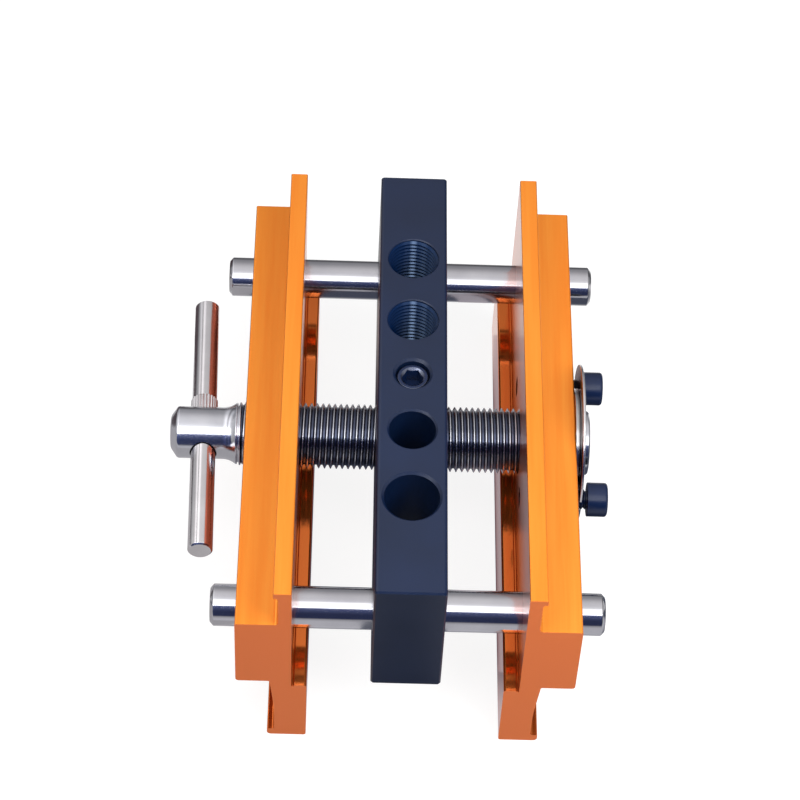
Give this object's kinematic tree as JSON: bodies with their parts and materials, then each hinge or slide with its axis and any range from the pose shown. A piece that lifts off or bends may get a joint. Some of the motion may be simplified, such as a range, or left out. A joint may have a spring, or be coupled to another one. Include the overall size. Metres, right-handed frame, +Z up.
{
  "type": "self centring doweling jig",
  "caption": "Doweling jig whose two jaws close evenly on a board by one left and right hand screw, to hold a drilled guide block over the middle of its edge.",
  "frame": {"origin": "middle of the guide block's underside, where the block sits on the board's edge", "axes": "+X along the lead screw, away from its handle; +Y along the board's edge, towards the tapped guide holes; +Z up, out of the guide holes"},
  "size_m": [0.1289, 0.1556, 0.0728],
  "materials": {
    "black_oxide": "black oxide, satin",
    "black_screw": "black oxide, slightly glossy",
    "ground_steel": "ground and polished",
    "turned_steel": "turned and polished, threads darker in their roots",
    "bar_steel": "bright drawn, knurled in the middle",
    "nut_steel": "turned and polished",
    "plate_steel": "bright nickel plate",
    "orange_anodised": "orange anodised extrusion, fine lines along its length"
  },
  "bodies": {
    "block": {"guide_block": "black_oxide", "guide_rod_front": "ground_steel", "guide_rod_back": "ground_steel", "retaining_screw": "black_screw"},
    "screw": {"lead_screw": "turned_steel", "handle_bar": "bar_steel"},
    "left_jaw": {"left_jaw": "orange_anodised"},
    "right_jaw": {"right_jaw": "orange_anodised", "centring_nut": "nut_steel", "nut_plate": "plate_steel", "nut_screw_front": "black_screw", "nut_screw_back": "black_screw"}
  },
  "joints": [
    {"name": "left_jaw_slide", "type": "slide", "parent": "block", "child": "left_jaw", "axis": [1, 0, 0], "range_m": [-0.0015, 0.0224]},
    {"name": "right_jaw_slide", "type": "slide", "parent": "block", "child": "right_jaw", "axis": [-1, 0, 0], "range_m": [-0.0015, 0.0224]},
    {"name": "screw_turn", "type": "hinge", "parent": "block", "child": "screw", "pos_m": [0, 0, 0.01485], "axis": [1, 0, 0], "range_deg": [-309, 4609]}
  ],
  "couplings": [
    {"joint": "right_jaw_slide", "follows": "left_jaw_slide", "ratio": 1},
    {"joint": "screw_turn", "follows": "left_jaw_slide", "rad_per_m": 3590.4}
  ]
}
